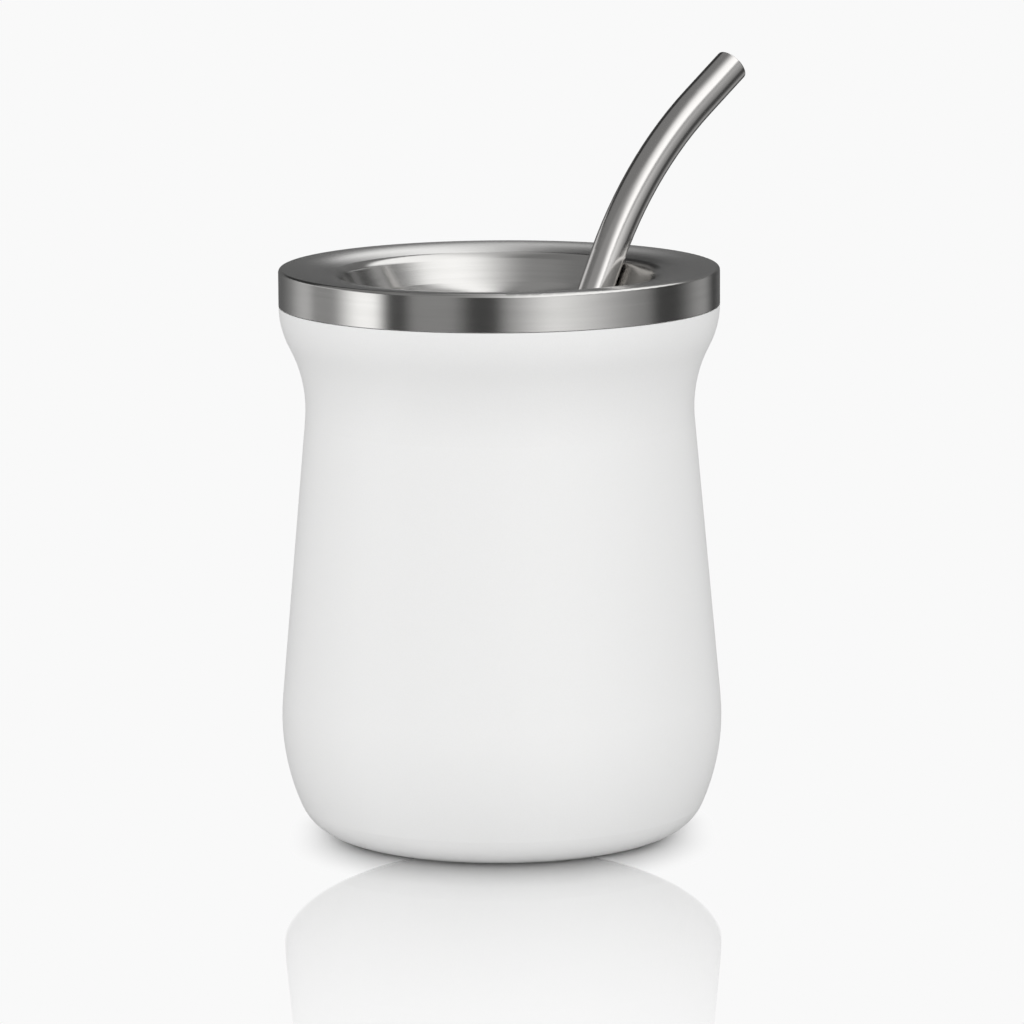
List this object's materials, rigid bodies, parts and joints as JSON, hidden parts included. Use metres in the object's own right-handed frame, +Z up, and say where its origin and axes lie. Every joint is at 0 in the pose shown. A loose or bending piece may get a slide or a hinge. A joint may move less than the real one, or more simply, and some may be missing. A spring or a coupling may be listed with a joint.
{
  "type": "mate cup",
  "caption": "Double-wall steel mate cup with a flared shoulder, a bell-shaped steel mouth and a bent metal straw leaning in it.",
  "frame": {"origin": "middle of the foot, in the plane that the cup stands on", "axes": "+Z up the cup's axis, out of the mouth; +X to the right and +Y away from the front view; the straw leans out 37 degrees from +X towards +Y"},
  "size_m": [0.0906, 0.0844, 0.1463],
  "materials": {
    "powder_coat": "matt white powder coat on steel sheet",
    "cup_steel": "stainless steel, brushed round the cup's axis",
    "straw_steel": "stainless steel tube, drawn and polished"
  },
  "bodies": {
    "root": {"outer_shell": "powder_coat", "inner_cup": "cup_steel", "base_plate": "cup_steel", "straw_tube": "straw_steel", "strainer_bulb": "straw_steel"}
  },
  "joints": []
}
